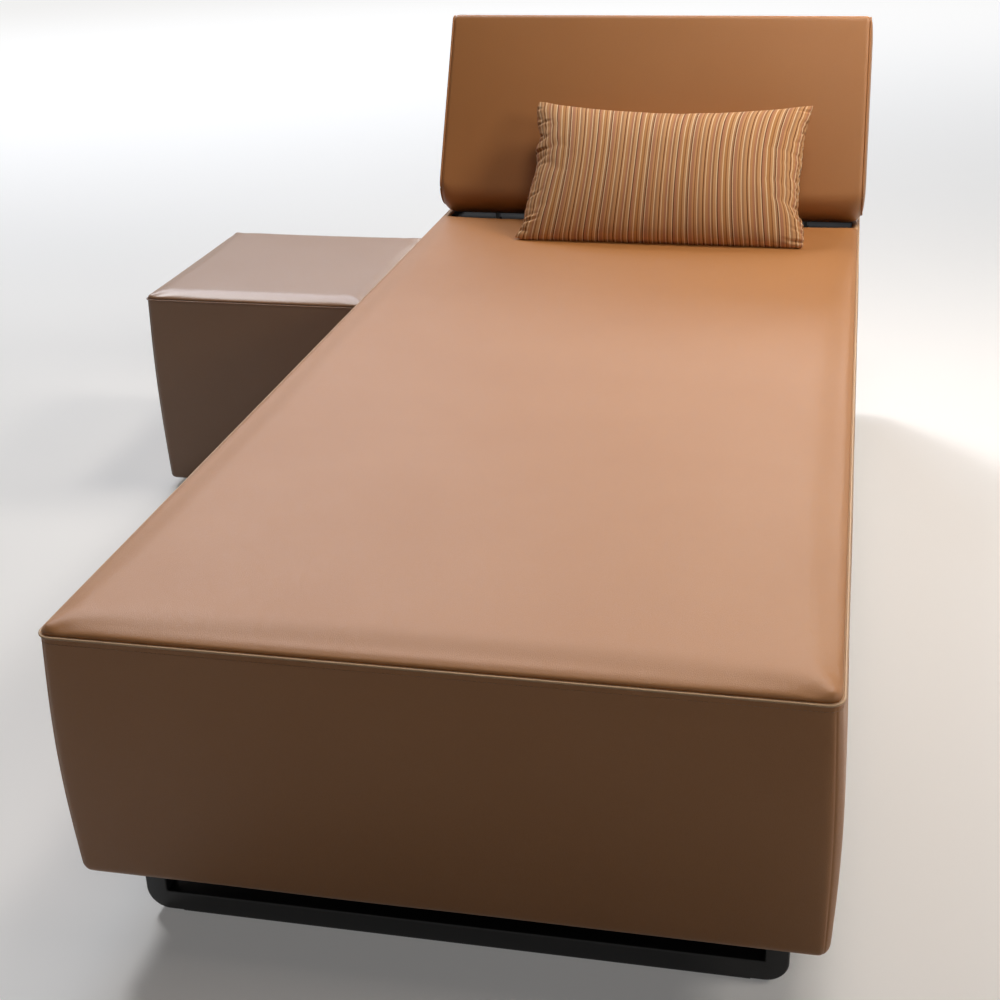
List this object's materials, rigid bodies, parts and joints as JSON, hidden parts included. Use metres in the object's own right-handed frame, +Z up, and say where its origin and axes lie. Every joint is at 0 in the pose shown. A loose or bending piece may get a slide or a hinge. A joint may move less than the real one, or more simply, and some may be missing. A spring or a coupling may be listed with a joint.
{
  "type": "spa relaxation lounger",
  "caption": "Long upholstered lounger on sled legs with a reclining padded backrest, a striped oblong pillow and a matching cube stool beside it.",
  "frame": {"origin": "on the floor, at the middle of the underside of the front leg's foot strip", "axes": "+X to the right seen from the foot end, +Y towards the head end, +Z up"},
  "size_m": [1.223, 1.7944, 0.752],
  "materials": {
    "birch_ply": "matte",
    "foam": "matte",
    "leatherette": "satin",
    "pale_piping": "satin",
    "black_cloth": "matte",
    "black_steel": "satin",
    "zinc_steel": "satin",
    "black_rubber": "matte",
    "striped_fabric": "matte",
    "black_plinth": "matte"
  },
  "bodies": {
    "lounger": {"side_rails": "birch_ply", "end_rails": "birch_ply", "cross_rails": "birch_ply", "corner_blocks": "birch_ply", "deck_board": "birch_ply", "slot_foam": "foam", "seat_foam": "foam", "side_padding": "foam", "seat_cover": "leatherette", "side_cover": "leatherette", "seat_piping": "pale_piping", "slot_lining": "black_cloth", "dust_cover": "black_cloth", "front_leg": "black_steel", "rear_leg": "black_steel", "leg_plates": "black_steel", "leg_bolts": "zinc_steel", "foot_strips": "black_rubber", "hinge_blocks": "birch_ply", "hinge_ears": "zinc_steel", "ear_screws": "zinc_steel"},
    "backrest": {"back_board": "birch_ply", "back_foam": "foam", "back_cover": "leatherette", "back_welts": "leatherette", "hinge_arms": "zinc_steel", "arm_screws": "zinc_steel", "hinge_pins": "zinc_steel"},
    "pillow": {"pillow_filling": "foam", "pillow_cover": "striped_fabric"},
    "stool": {"stool_carcass": "birch_ply", "stool_lid_board": "birch_ply", "stool_foam": "foam", "stool_padding": "foam", "stool_top_cover": "leatherette", "stool_side_cover": "leatherette", "stool_welt": "leatherette", "stool_dust_cover": "black_cloth", "stool_plinth": "black_plinth", "stool_feet": "black_rubber"}
  },
  "joints": [
    {"name": "backrest_hinge", "type": "hinge", "parent": "lounger", "child": "backrest", "pos_m": [0, 1.514, 0.4345], "axis": [-1, 0, 0], "range_deg": [0, 50]},
    {"name": "pillow_lift", "type": "slide", "parent": "backrest", "child": "pillow", "axis": [0, 0, 1], "range_m": [0, 0.35]},
    {"name": "stool_slide", "type": "slide", "parent": "lounger", "child": "stool", "axis": [-1, 0, 0], "range_m": [0, 0.3]}
  ]
}
